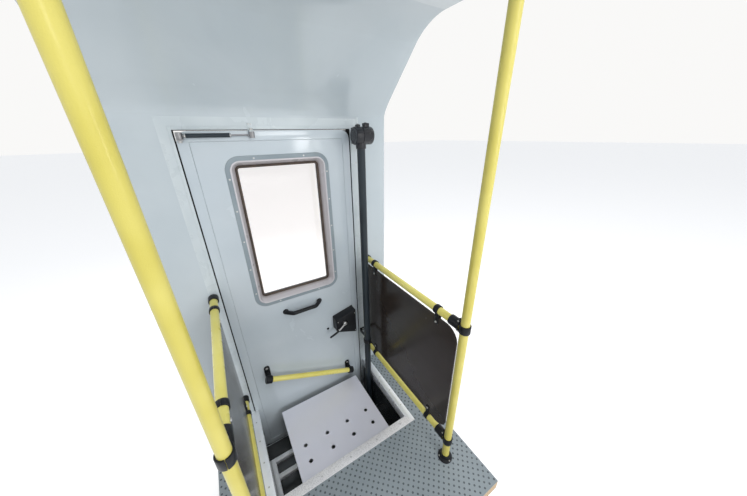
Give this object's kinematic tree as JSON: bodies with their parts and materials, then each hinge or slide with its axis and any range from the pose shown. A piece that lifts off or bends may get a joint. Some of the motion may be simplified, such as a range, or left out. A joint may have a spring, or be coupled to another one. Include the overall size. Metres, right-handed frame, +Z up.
{
  "type": "bus entrance bay",
  "caption": "Slice of a crew bus body round its hinged side door, with floor, stairwell, step, ceiling strip, yellow poles, guard rails and dark panels.",
  "frame": {"origin": "middle of the four chassis bolts, on the underside of the mounting plates", "axes": "+X along the side wall to the right as seen from inside, +Y out of the body through the door, +Z up"},
  "size_m": [1.16, 1.084, 2.415],
  "materials": {
    "wall_gloss": "glossy pale grey wall skin",
    "leaf_gloss": "glossy pale grey door skin",
    "frame_grey": "light grey painted profile",
    "seal_rubber": "black rubber",
    "floor_vinyl": "grey studded vinyl",
    "floor_ply": "plywood board edges",
    "frame_black": "black painted steel",
    "well_black": "gloss black painted steel",
    "edge_aluminium": "bright folded aluminium",
    "zinc_grey": "light grey galvanised tube",
    "pole_yellow": "yellow grained coating on tube",
    "fitting_black": "black moulded plastic",
    "guard_smoked": "dark smoked glossy sheet",
    "post_black": "black powder coat",
    "window_grey": "blue grey window trim",
    "window_glass": "clear glass",
    "plain_steel": "zinc plated steel",
    "stay_black": "black painted gas stay tube",
    "rod_chrome": "polished rod"
  },
  "bodies": {
    "bay": {"wall_left": "wall_gloss", "wall_right": "wall_gloss", "wall_header": "wall_gloss", "cove_panel": "wall_gloss", "cove_ribs": "floor_ply", "ceiling_panel": "wall_gloss", "door_frame_jambs": "frame_grey", "door_frame_header": "frame_grey", "door_frame_sill": "frame_grey", "door_seal": "seal_rubber", "flap_seal": "seal_rubber", "rain_gutter": "edge_aluminium", "floor_main_board": "floor_ply", "floor_side_boards": "floor_ply", "floor_covering": "floor_vinyl", "long_beams": "frame_black", "cross_beams": "frame_black", "mount_plates": "frame_black", "stairwell_tray": "well_black", "edging_front": "edge_aluminium", "edging_sides": "edge_aluminium", "ladder_frame": "zinc_grey", "tread_carriers": "zinc_grey", "step_tread": "edge_aluminium", "poles": "pole_yellow", "pole_floor_flanges": "fitting_black", "pole_ceiling_flanges": "fitting_black", "guard_top_rails": "pole_yellow", "guard_low_rails": "pole_yellow", "wall_sockets": "fitting_black", "rail_tees": "fitting_black", "panel_clips": "fitting_black", "guard_panels": "guard_smoked", "grab_post": "post_black", "post_foot": "post_black", "post_head": "fitting_black", "post_tie": "fitting_black", "hinge_frame_leaves": "plain_steel", "stay_frame_bracket": "plain_steel"},
    "door": {"door_leaf": "leaf_gloss", "door_side_profiles": "leaf_gloss", "door_end_profiles": "leaf_gloss", "door_flap": "frame_grey", "window_inner_trim": "window_grey", "window_rubber": "seal_rubber", "window_glass": "window_glass", "window_outer_trim": "window_grey", "pull_handle": "fitting_black", "lock_case": "fitting_black", "lock_lever": "plain_steel", "door_rail": "pole_yellow", "door_rail_brackets": "fitting_black", "outer_handle": "fitting_black", "hinge_door_leaves": "plain_steel", "stay_leaf_bracket": "plain_steel"},
    "stay_tube": {"stay_tube": "stay_black"},
    "stay_rod": {"stay_rod": "rod_chrome"}
  },
  "joints": [
    {"name": "door_hinge", "type": "hinge", "parent": "bay", "child": "door", "pos_m": [-0.368, 0.61, 0.76], "axis": [0, 0, 1], "range_deg": [0, 90]},
    {"name": "stay_swing", "type": "hinge", "parent": "door", "child": "stay_tube", "pos_m": [-0.35, 0.53, 1.705], "axis": [0, 0, 1], "range_deg": [-116, 0]},
    {"name": "stay_slide", "type": "slide", "parent": "stay_tube", "child": "stay_rod", "axis": [1, 0, 0], "range_m": [-0.059, 0]}
  ],
  "couplings": [
    {"joint": "stay_swing", "follows": "door_hinge", "ratio": -1.266},
    {"joint": "stay_slide", "follows": "door_hinge", "m_per_rad": -0.0362}
  ]
}
